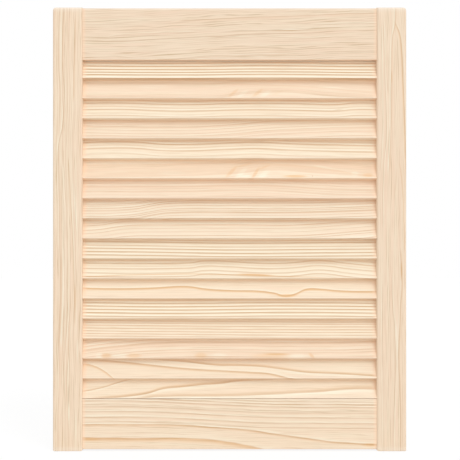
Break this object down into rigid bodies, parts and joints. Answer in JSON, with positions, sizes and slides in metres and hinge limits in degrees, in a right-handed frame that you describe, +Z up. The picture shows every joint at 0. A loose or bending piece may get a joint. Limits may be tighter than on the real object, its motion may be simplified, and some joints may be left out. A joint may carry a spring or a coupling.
{
  "type": "louvred cabinet door",
  "caption": "Unfinished pine cabinet door with fixed sloping slats housed in two stiles and dowelled rails, to be hung on hinges from either edge.",
  "frame": {"origin": "middle of the door's width and thickness, at the level of the stile feet", "axes": "+Z up along the stiles, +X to the right seen from the front, -Y out of the front"},
  "size_m": [0.49, 0.021, 0.615],
  "materials": {
    "pine": "bare planed and sanded softwood",
    "dowel_beech": "bare turned hardwood"
  },
  "bodies": {
    "root": {"left_stile": "pine", "right_stile": "pine", "top_rail": "pine", "bottom_rail": "pine", "slat_01": "pine", "slat_02": "pine", "slat_03": "pine", "slat_04": "pine", "slat_05": "pine", "slat_06": "pine", "slat_07": "pine", "slat_08": "pine", "slat_09": "pine", "slat_10": "pine", "slat_11": "pine", "slat_12": "pine", "slat_13": "pine", "slat_14": "pine", "slat_15": "pine", "slat_16": "pine", "slat_17": "pine", "dowel_top_left_upper": "dowel_beech", "dowel_top_left_lower": "dowel_beech", "dowel_top_right_upper": "dowel_beech", "dowel_top_right_lower": "dowel_beech", "dowel_bottom_left_upper": "dowel_beech", "dowel_bottom_left_lower": "dowel_beech", "dowel_bottom_right_upper": "dowel_beech", "dowel_bottom_right_lower": "dowel_beech"}
  },
  "joints": []
}
